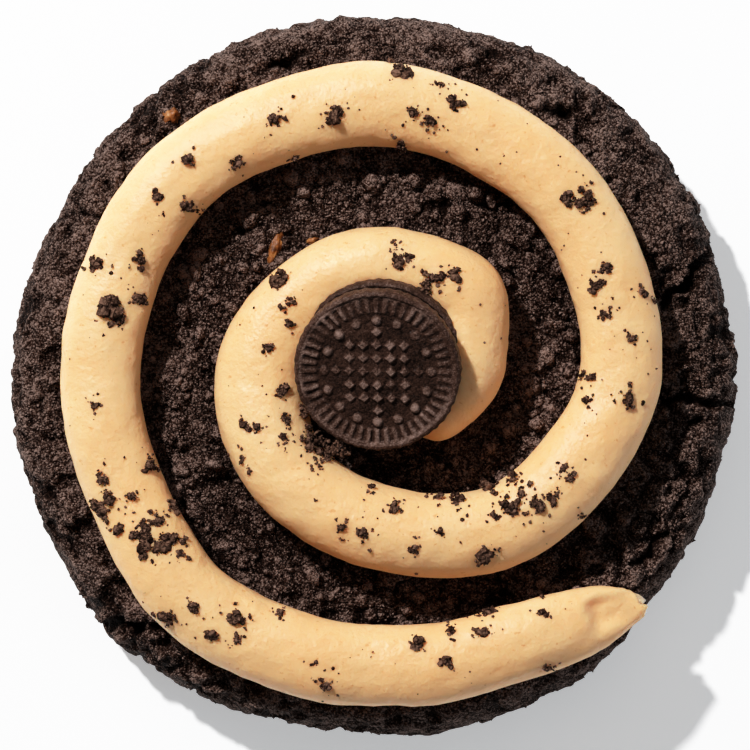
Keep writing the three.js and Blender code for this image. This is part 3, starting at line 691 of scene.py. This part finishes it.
def bead_height(length, across):
    """Height of the bead's upper face, with the scoop near its outer end."""
    size = bead_size(length)
    side = np.minimum(np.abs(2 * across / size[:, 0]), 1)
    upper = (1 - side**SWIRL_CREST_POWER) ** (1 / SWIRL_CREST_POWER)
    back = SWIRL_LENGTH - length
    opened = 1 - fade(back, SCOOP["back"], SCOOP["back"] + SCOOP["step"])
    opened *= SCOOP["tip"] + (1 - SCOOP["tip"]) * back / SCOOP["back"]
    inner = fade(across, SCOOP["inner"], SCOOP["inner"] + SCOOP["wall"])
    outer = 1 - fade(across, SCOOP["outer"] - SCOOP["slope"], SCOOP["outer"])
    return size[:, 1] / 2 * (1 + upper) - SCOOP["depth"] * opened * inner * outer * upper


def swirl():
    """The bead's points and triangles, wavy and streaked, with a torn outer end."""
    quarter = np.linspace(0, np.pi / 2, 16)
    start = START_ROUND * (1 - np.cos(quarter))
    end = SWIRL_LENGTH - END_ROUND * (1 - np.sin(quarter[::2]))
    middle = np.arange(START_ROUND + SWIRL_STEP, SWIRL_LENGTH - END_ROUND, SWIRL_STEP)
    stations = np.concatenate([start, middle, end])
    turn = np.linspace(0, 2 * np.pi, SWIRL_SIDES, endpoint=False)
    length = np.repeat(stations, SWIRL_SIDES)
    sideways, upward = np.tile(np.cos(turn), len(stations)), np.tile(np.sin(turn), len(stations))
    size = bead_size(length)
    across = size[:, 0] / 2 * sideways
    foot = size[:, 1] / 2 * (1 - np.abs(upward) ** SWIRL_FOOT_POWER)
    points = bead_point(length, across, np.where(upward > 0, bead_height(length, across), foot))
    grid = points.reshape(len(stations), SWIRL_SIDES, 3)
    around = np.roll(grid, -1, axis=1) - np.roll(grid, 1, axis=1)
    normals = np.cross(np.gradient(grid, axis=0), around)
    normals = -normals.reshape(-1, 3) / np.maximum(np.linalg.norm(normals, axis=2).reshape(-1, 1), 1e-9)
    rise = sum(height * noise(points / span) for span, height in SWIRL_WAVES)
    streaks = np.column_stack([length / STREAK_LENGTH, across / STREAK_WIDTH, upward])
    rise += STREAK_HEIGHT * noise(streaks)
    points = points + normals * rise[:, None]
    teeth = END_TEAR * noise(np.column_stack([across / TEAR_WIDTH, upward, 0 * across]))
    torn = (END_SLANT * across + teeth) * fade(length, SWIRL_LENGTH - TEAR_REACH, SWIRL_LENGTH)
    points[:, :2] += torn[:, None] * along_line(AHEAD, length)
    ends = np.stack([points[:SWIRL_SIDES].mean(0), points[-SWIRL_SIDES:].mean(0)])
    return np.concatenate([points, ends]), tube_faces(len(stations), SWIRL_SIDES)[:, ::-1]


def scatter(patch, count, sizes, reach):
    """Random crumbs round a patch, along a line of their own: lengths, offsets and sizes."""
    angle, offset = patch[:2]
    heading = rng.uniform(0, np.pi)
    far = rng.normal(0, reach, count)
    aside = rng.normal(0, SCATTER_NARROWNESS * reach, count)
    lengths = length_at_angle(angle) + far * np.cos(heading) - aside * np.sin(heading)
    offsets = offset + far * np.sin(heading) + aside * np.cos(heading)
    return lengths, offsets, random_sizes(sizes, count)


def solid_crumbs():
    """The crumbs that the solids have, at the same places."""
    rows = []
    for patch, (angle, offset, spread, largest) in enumerate(CRUMB_PATCHES):
        for i in range(1 + round(spread * CRUMBS_PER_SPREAD)):
            size = largest * CRUMB_RATIO**i
            if size < SMALLEST_CRUMB:
                break
            seed = patch * 10 + i
            turn = 2 * np.pi * draw(seed + 0.3)
            reach = 0 if i == 0 else spread * (0.6 + 0.4 * draw(seed + 0.6))
            length = length_at_angle(angle) + reach * np.cos(turn)
            rows.append([length, offset + reach * np.sin(turn), size])
    return np.array(rows).T


def crumb_spots():
    """Places and sizes of all crumbs."""
    groups = [solid_crumbs()]
    groups += [[[length_at_angle(row[0])], [row[1]], [row[3]]] for row in SMALL_PATCHES]
    for patch in CRUMB_PATCHES + SMALL_PATCHES:
        spread, largest = patch[2:]
        for per_spread, added, sizes, (of_largest, of_spread) in SMALLER_CRUMBS:
            count = round(per_spread * (added + spread))
            groups.append(scatter(patch, count, sizes, of_largest * largest + of_spread * spread))
    speck_sizes = random_sizes(SPECK_SIZES, SPECKS)
    speck_lengths = rng.uniform(*SPECK_STRETCH, SPECKS) * SWIRL_LENGTH
    groups.append((speck_lengths, rng.uniform(-SPECK_OFFSET, SPECK_OFFSET, SPECKS), speck_sizes))
    lengths, offsets, sizes = np.concatenate(groups, axis=1)
    lengths = np.clip(lengths, 1, SWIRL_LENGTH - 1)
    limit = CRUMB_LIMIT * bead_size(lengths)[:, 0]
    offsets = np.clip(offsets, -limit, limit)
    spots = bead_point(lengths, offsets, bead_height(lengths, offsets))
    caught = polar(rng.uniform(*GAP_ANGLES, GAP_CRUMBS), rng.uniform(*GAP_RADII, GAP_CRUMBS))
    caught = np.column_stack([caught, rng.uniform(*GAP_HEIGHTS, GAP_CRUMBS)])
    caught_sizes = random_sizes(MEDIUM_SIZES, GAP_CRUMBS, power=1.5)
    return np.concatenate([spots, caught]), np.concatenate([sizes, caught_sizes])


def clump(spot, size):
    """One crumb: overlapping lumps in a flat ragged heap, with grains on them."""
    heading = rng.uniform(0, np.pi)
    stretch = [rng.uniform(*HEAP_LENGTHS), rng.uniform(*HEAP_WIDTHS), HEAP_HEIGHT]
    lobes = 2 + round(LOBES_PER_SIZE * size)
    reach = HEAP_REACH * size * np.sqrt(rng.random((lobes, 1)))
    reach[0] = 0
    middles = random_turns(lobes)[:, :, 2] * reach * stretch
    turned = polar(np.degrees(heading), middles[:, 0]) + polar(np.degrees(heading) + 90, middles[:, 1])
    middles = spot + np.column_stack([turned, np.abs(middles[:, 2])])
    widths = size * rng.uniform(*LOBE_SIZES, lobes)
    heap = lumps(middles, widths, 1, CLUMP_JITTER)
    count = round(GRAINS_PER_AREA * size**AREA_POWER)
    under = rng.integers(lobes, size=count)
    outward = random_turns(count)[:, :, 2] * widths[under, None] * rng.uniform(*GRAIN_SPOTS, (count, 1))
    spread = LEAST_GRAIN + rng.random(count) ** GRAIN_POWER
    grain_sizes = (CLUMP_GRAIN + GRAIN_GROWTH * size) * spread
    loose = lumps(middles[under] + outward, grain_sizes, 0, CLUMP_JITTER)
    points, faces, tone = joined([heap, loose])
    height = (points[:, 2] - spot[2]) / size
    # Painted shade low on each crumb and painted light high on it
    return points, faces, tone + CRUMB_SHADE * (height - CRUMB_SHADE_LEVEL)


def crumbs():
    """Single lumps for the finest crumbs and clumps for the others."""
    spots, sizes = crumb_spots()
    fine = sizes < SMALLEST_CLUMP
    parts = [lumps(spots[fine], sizes[fine], 1)]
    parts += [clump(spot, size) for spot, size in zip(spots[~fine], sizes[~fine])]
    return joined(parts)


# Sandwich biscuit


def placed(points):
    """Points of the biscuit's own frame, moved to where it leans on the swirl."""
    lean = polar(SANDWICH_LEAN_ANGLE, 1)[0]
    tilt = Matrix.Rotation(math.radians(SANDWICH_TILT), 4, Vector((-lean[1], lean[0], 0)))
    matrix = np.array(Matrix.Translation(SANDWICH_FOOT) @ tilt)
    return points @ matrix[:3, :3].T + matrix[:3, 3]


def wafer_face(x, y):
    """Height of the pressed face above its field."""
    radius = np.hypot(x, y)
    spoke = 0.5 - 0.5 * np.cos(RIDGES * np.arctan2(y, x))
    band = fade(radius, RIDGE_INNER - BAND_INSIDE, RIDGE_INNER + BAND_OUTSIDE)
    ridged = band * (1 - fade(radius, RIDGE_OUTER - RIDGE_FADE, RIDGE_OUTER))
    height = FIELD_DEPTH * band - RIDGE_HEIGHT * ridged * fade(spoke, *RIDGE_SIDES)
    for spot in polar(np.arange(PIPS) * 360 / PIPS, PIP_RING_RADIUS):
        distance = np.hypot(x - spot[0], y - spot[1])
        pip = PIP_FLATNESS * np.sqrt(np.maximum(PIP_RADIUS**2 - distance**2, 0))
        height = np.maximum(height, pip)
    half = math.floor(STUD_FIELD_RADIUS / STUD_PITCH)
    for i, j in itertools.product(range(-half, half + 1), repeat=2):
        if math.hypot(i, j) * STUD_PITCH <= STUD_FIELD_RADIUS:
            reach = np.abs(x - i * STUD_PITCH) + np.abs(y - j * STUD_PITCH)
            height = np.maximum(height, STUD_HEIGHT * fade(STUD_RADIUS - reach, 0, STUD_SLOPE))
    return height


def wafer(sides, rings):
    """A wafer with its pressed face up: points in the biscuit's own frame, triangles and tones."""
    face = WAFER_THICKNESS - FIELD_DEPTH
    bend = np.linspace(0, np.pi / 2, WAFER_EDGE_STEPS)
    inset = WAFER_RADIUS - WAFER_EDGE
    under = np.linspace(SMALLEST_BACK_RING, inset, WAFER_BACK_RINGS)
    lower = [inset + WAFER_EDGE * np.sin(bend), WAFER_EDGE * (1 - np.cos(bend))]
    upper = [inset + WAFER_EDGE * np.cos(bend), face + FIELD_DEPTH - WAFER_EDGE * (1 - np.sin(bend))]
    inward = np.linspace(inset, SMALLEST_FACE_RING, rings)[1:]
    radius = np.concatenate([under, lower[0][1:], upper[0], inward])
    level = np.concatenate([0 * under, lower[1][1:], upper[1], np.full(len(inward), face)])
    pressed = np.arange(len(radius)) >= len(radius) - len(inward)
    turn = np.linspace(0, 2 * np.pi, sides, endpoint=False)
    x, y = np.outer(radius, np.cos(turn)).ravel(), np.outer(radius, np.sin(turn)).ravel()
    worn = WEAR_MEAN + WEAR_RANGE * noise(np.column_stack([x, y, 0 * x]) / WEAR_SIZE)
    relief = np.repeat(pressed, sides) * wafer_face(x, y) * worn
    edge = fade(np.repeat(radius, sides), RIDGE_OUTER, WAFER_RADIUS)
    swell = 1 + SCALLOP / WAFER_RADIUS * edge * np.tile(np.cos(RIDGES * turn) - 1, len(radius))
    points = np.column_stack([x * swell, y * swell, np.repeat(level, sides) + relief])
    for size, height, shifts in WAFER_WAVES:
        points += height * np.column_stack([noise(points / size + shift) for shift in shifts])
    ends = [[0, 0, 0], [0, 0, face + STUD_HEIGHT]]
    # Painted shade: the flat backs, which face the cream, are dark
    plain = np.where(np.repeat(level, sides) > 0, EDGE_TONE, BACK_PAINTED_SHADE)
    # Painted highlight where the pressed relief stands higher and painted shade where it is cut in
    tone = np.where(np.repeat(pressed, sides), FACE_TONE + relief, plain)
    points = np.concatenate([points, ends])
    tone = np.append(tone, MIDDLE_TONES) + WAFER_PATCH * noise(points / WAFER_PATCH_SIZE)
    return points, tube_faces(len(radius), sides), tone


def cream():
    """The cream layer, with its middle at the origin."""
    half = CREAM_THICKNESS / 2
    turn = np.linspace(-np.pi / 2, np.pi / 2, CREAM_EDGE_STEPS)
    edge_radius = CREAM_RADIUS - CREAM_EDGE + CREAM_EDGE * np.cos(turn)
    radius = np.concatenate([CREAM_RINGS, edge_radius, CREAM_RINGS[::-1]])
    level = np.concatenate([[-half, -half], half * np.sin(turn), [half, half]])
    around = np.linspace(0, 2 * np.pi, CREAM_SIDES, endpoint=False)
    x, y = np.outer(radius, np.cos(around)).ravel(), np.outer(radius, np.sin(around)).ravel()
    points = np.column_stack([x, y, np.repeat(level, CREAM_SIDES)])
    edge = 1 + CREAM_WAVE * noise(points / CREAM_WAVE_SIZE)
    points[:, :2] *= edge[:, None]
    ends = [[0, 0, -half], [0, 0, half]]
    return np.concatenate([points, ends]), tube_faces(len(radius), CREAM_SIDES)


# Materials, with colours as (place on the ramp, colour)

CRUST_STOPS = [
    (0.1, (0.0035, 0.0011, 0.0005)),
    (0.3, (0.013, 0.0052, 0.003)),
    (0.5, (0.04, 0.0205, 0.0142)),
    (0.95, (0.255, 0.178, 0.151)),
]
CRUMB_STOPS = [(0.1, (0.01, 0.004, 0.0022)), (0.5, (0.043, 0.0212, 0.0142)), (1, (0.21, 0.122, 0.086))]
WAFER_STOPS = [(0.1, (0.007, 0.0035, 0.0025)), (0.5, (0.062, 0.0318, 0.0222)), (1, (0.24, 0.16, 0.133))]
FROSTING_STOPS = [(0.3, (0.92, 0.525, 0.262)), (0.7, (0.98, 0.59, 0.32))]
FLECK_STOPS, FLECK_SHARE = [(0.26, (0.7, 0.45, 0.22)), (0.34, (1, 1, 1))], 0.5
CREAM_STOPS = [(0.3, (0.8, 0.7, 0.54)), (0.7, (0.88, 0.8, 0.66))]
PEANUT_STOPS = [(0.3, (0.06, 0.018, 0.006)), (0.5, (0.26, 0.092, 0.022)), (0.7, (0.42, 0.2, 0.07))]
FLOOR_STOPS = [(0.3, (0.86, 0.86, 0.86)), (0.7, (0.9, 0.9, 0.9))]
# Grains of baked crumb: how dark the painted shade in the gaps between them is, and the offset that keeps
# the mean shade.
# Groups of grains are larger and differ less.
GRAIN_GAP_SHADE, GRAIN_MIDDLE = 0.6, 0.2
GROUP_SIZE, GROUP_SPREAD, SINGLE_DEPTH = 2.5, 0.35, 0.6


def material(name, settings):
    """A new material with these shader settings, its node tree and its shader."""
    made = bpy.data.materials.new(name)
    made.use_nodes = True
    shader = made.node_tree.nodes["Principled BSDF"]
    for socket, value in settings.items():
        shader.inputs[socket].default_value = value
    return made, made.node_tree, shader


def node(tree, kind, **values):
    made = tree.nodes.new(kind)
    for key, value in values.items():
        if key in made.inputs:
            made.inputs[key].default_value = value
        else:
            setattr(made, key, value)
    return made


def texture(tree, kind, size, **values):
    """Pattern in the part's own space whose features are about size millimetres across."""
    place = node(tree, "ShaderNodeTexCoord")
    made = node(tree, kind, Scale=1 / (size * MM), **values)
    tree.links.new(place.outputs["Object"], made.inputs["Vector"])
    return made


def mottle(tree, size, detail=3):
    """Soft noise with blotches of about that size."""
    return texture(tree, "ShaderNodeTexNoise", size, Detail=detail, Roughness=0.55).outputs["Fac"]


def ramp(tree, source, stops):
    made = node(tree, "ShaderNodeValToRGB")
    elements = made.color_ramp.elements
    while len(elements) < len(stops):
        elements.new(0.5)
    for element, (position, colour) in zip(elements, stops):
        element.position = position
        element.color = (*colour, 1)
    tree.links.new(source, made.inputs["Fac"])
    return made.outputs["Color"]


def base_colour(tree, shader, source, stops):
    tree.links.new(ramp(tree, source, stops), shader.inputs["Base Color"])


def math_node(tree, operation, first, second):
    made = node(tree, "ShaderNodeMath", operation=operation)
    for socket, value in zip(made.inputs, (first, second)):
        if isinstance(value, (int, float)):
            socket.default_value = value
        else:
            tree.links.new(value, socket)
    return made.outputs["Value"]


def add_bump(tree, shader, layers):
    """Bump from (height socket, depth in millimetres) pairs."""
    normal = None
    for height, depth in layers:
        made = node(tree, "ShaderNodeBump", Strength=1.0, Distance=depth * MM)
        tree.links.new(height, made.inputs["Height"])
        if normal:
            tree.links.new(normal, made.inputs["Normal"])
        normal = made.outputs["Normal"]
    tree.links.new(normal, shader.inputs["Normal"])


def cocoa(name, stops, roughness, shine, grain_size, grain_depth, spread):
    """Baked chocolate crumb: small domed grains, each of its own shade, with painted shade in the gaps
    between them.
    """
    made, tree, shader = material(name, {"Roughness": roughness, "Specular IOR Level": shine})
    shade = node(tree, "ShaderNodeAttribute", attribute_name="tone").outputs["Fac"]
    cells = texture(tree, "ShaderNodeTexVoronoi", grain_size)
    groups = texture(tree, "ShaderNodeTexVoronoi", GROUP_SIZE * grain_size)
    for cell, weight in ((cells, spread), (groups, GROUP_SPREAD * spread)):
        own = node(tree, "ShaderNodeSeparateColor")
        tree.links.new(cell.outputs["Color"], own.inputs["Color"])
        # Painted shade: darker towards each grain's edge, in the gaps between grains
        gap_shade = math_node(tree, "MULTIPLY", cell.outputs["Distance"], GRAIN_GAP_SHADE)
        middle = math_node(tree, "ADD", gap_shade, GRAIN_MIDDLE)
        offset = math_node(tree, "SUBTRACT", own.outputs["Red"], middle)
        shade = math_node(tree, "ADD", shade, math_node(tree, "MULTIPLY", offset, weight))
    base_colour(tree, shader, shade, stops)
    add_bump(tree, shader, [
        (math_node(tree, "SUBTRACT", 1, groups.outputs["Distance"]), grain_depth),
        (math_node(tree, "SUBTRACT", 1, cells.outputs["Distance"]), SINGLE_DEPTH * grain_depth),
    ])
    return made


def frosting():
    made, tree, shader = material("peanut_butter_frosting", {
        "Roughness": 0.42, "Specular IOR Level": 0.32, "Subsurface Weight": 0.9,
        "Subsurface Radius": (0.75, 0.92, 1), "Subsurface Scale": 2.3 * MM,
    })
    broad = ramp(tree, mottle(tree, size=11), FROSTING_STOPS)
    flecks = ramp(tree, mottle(tree, size=0.9, detail=2), FLECK_STOPS)
    mix = node(tree, "ShaderNodeMix", data_type="RGBA", blend_type="MULTIPLY")
    mix.inputs["Factor"].default_value = FLECK_SHARE
    # The node has sockets of each data type: inputs 6 and 7 and output 2 are the colours
    tree.links.new(broad, mix.inputs[6])
    tree.links.new(flecks, mix.inputs[7])
    tree.links.new(mix.outputs[2], shader.inputs["Base Color"])
    add_bump(tree, shader, [(mottle(tree, size=2.4), 0.3), (mottle(tree, size=0.7), 0.15)])
    return made


def vanilla_cream():
    made, tree, shader = material("vanilla_cream", {
        "Roughness": 0.55, "Subsurface Weight": 0.2,
        "Subsurface Radius": (1, 0.8, 0.5), "Subsurface Scale": MM,
    })
    base_colour(tree, shader, mottle(tree, size=3), CREAM_STOPS)
    add_bump(tree, shader, [(mottle(tree, size=0.8), 0.1)])
    return made


def roasted_peanut():
    made, tree, shader = material("roasted_peanut", {"Roughness": 0.5})
    base_colour(tree, shader, mottle(tree, size=1.2, detail=4), PEANUT_STOPS)
    add_bump(tree, shader, [(mottle(tree, size=0.7), 0.25)])
    return made


# Dressing

crust_look = cocoa(
    "chocolate_crust", CRUST_STOPS,
    roughness=0.6, shine=0.05, grain_size=0.26, grain_depth=0.34, spread=0.66,
)
crumb_look = cocoa(
    "biscuit_crumb", CRUMB_STOPS,
    roughness=0.6, shine=0.06, grain_size=0.3, grain_depth=0.2, spread=0.5,
)
wafer_look = cocoa(
    "chocolate_wafer", WAFER_STOPS,
    roughness=0.45, shine=0.1, grain_size=0.22, grain_depth=0.1, spread=0.28,
)

points, faces, normals, tone, room = crust()
made = piece("crust", (points, faces, tone), crust_look)
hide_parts("cookie")
grained = grains(points, normals, tone, room)
piece("crust_grains", grained, crust_look, smooth=False)
piece("crust_chunks", chunks(points, normals, tone, room), crust_look)
piece("peanut_pieces", peanut_pieces(points), roasted_peanut())

made = piece("frosting_swirl", swirl(), frosting())
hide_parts("swirl")
piece("biscuit_crumbs", crumbs(), crumb_look, smooth=False)

points, faces, tone = wafer(sides=480, rings=96)
raised = placed(points + [0, 0, WAFER_THICKNESS + CREAM_THICKNESS])
made = piece("upper_wafer", (raised, faces, tone), wafer_look)
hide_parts("sandwich_upper_wafer")
points, faces, tone = wafer(sides=288, rings=48)
flipped = placed(points * [1, -1, -1] + [0, 0, WAFER_THICKNESS])
made = piece("lower_wafer", (flipped, faces, tone), wafer_look)
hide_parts("sandwich_lower_wafer")
points, faces = cream()
lifted = placed(points + [0, 0, WAFER_THICKNESS + CREAM_THICKNESS / 2])
made = piece("cream_layer", (lifted, faces), vanilla_cream())
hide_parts("sandwich_cream")


# Floor, light and camera


def floor():
    bpy.ops.mesh.primitive_plane_add(size=FLOOR_SIZE, location=(0, 0, -FLOOR_DROP * MM))
    made = bpy.context.object
    made.name = "floor"
    look, tree, shader = material("pale_floor", {
        "Roughness": 0.9, "Emission Color": (1, 1, 1, 1), "Emission Strength": FLOOR_GLOW,
    })
    base_colour(tree, shader, mottle(tree, size=60, detail=2), FLOOR_STOPS)
    made.data.materials.append(look)


def area_light(name, angle, elevation, size, power, colour):
    """A round lamp that shines at the middle of the part's underside."""
    lamp = bpy.data.lights.new(name, "AREA")
    lamp.shape = "DISK"
    lamp.size = size
    lamp.energy = power
    lamp.color = colour
    made = new_object(name, lamp)
    rise = math.radians(elevation)
    spot = polar(angle, LAMP_DISTANCE * math.cos(rise))[0]
    made.location = (spot[0], spot[1], LAMP_DISTANCE * math.sin(rise))
    made.rotation_euler = (-made.location).to_track_quat("-Z", "Y").to_euler()


def light():
    for lamp in LAMPS:
        area_light(*lamp)
    world = bpy.data.worlds.new("studio")
    world.use_nodes = True
    sky = world.node_tree.nodes["Background"].inputs
    sky["Color"].default_value = SKY_COLOUR
    sky["Strength"].default_value = SKY_STRENGTH
    bpy.context.scene.world = world


def tone_curve():
    """Gives the picture the camera's answer to light, on all channels alike."""
    settings = bpy.context.scene.view_settings
    settings.view_transform = "Standard"
    settings.use_curve_mapping = True
    mapping = settings.curve_mapping
    brightest = TONE_CURVE[-1][0]
    mapping.white_level = (brightest, brightest, brightest)
    # The fourth curve is for all channels
    points = mapping.curves[3].points
    for entering, shown in TONE_CURVE[1:-1]:
        points.new(entering / brightest, shown)
    mapping.update()


def camera():
    lens = bpy.data.cameras.new("camera")
    lens.lens = CAMERA_LENS
    lens.sensor_width = SENSOR_WIDTH
    lens.clip_end = CLIP_END
    made = new_object("camera", lens)
    made.location = Vector(CAMERA_SPOT) * MM
    bpy.context.scene.camera = made


floor()
light()
tone_curve()
camera()
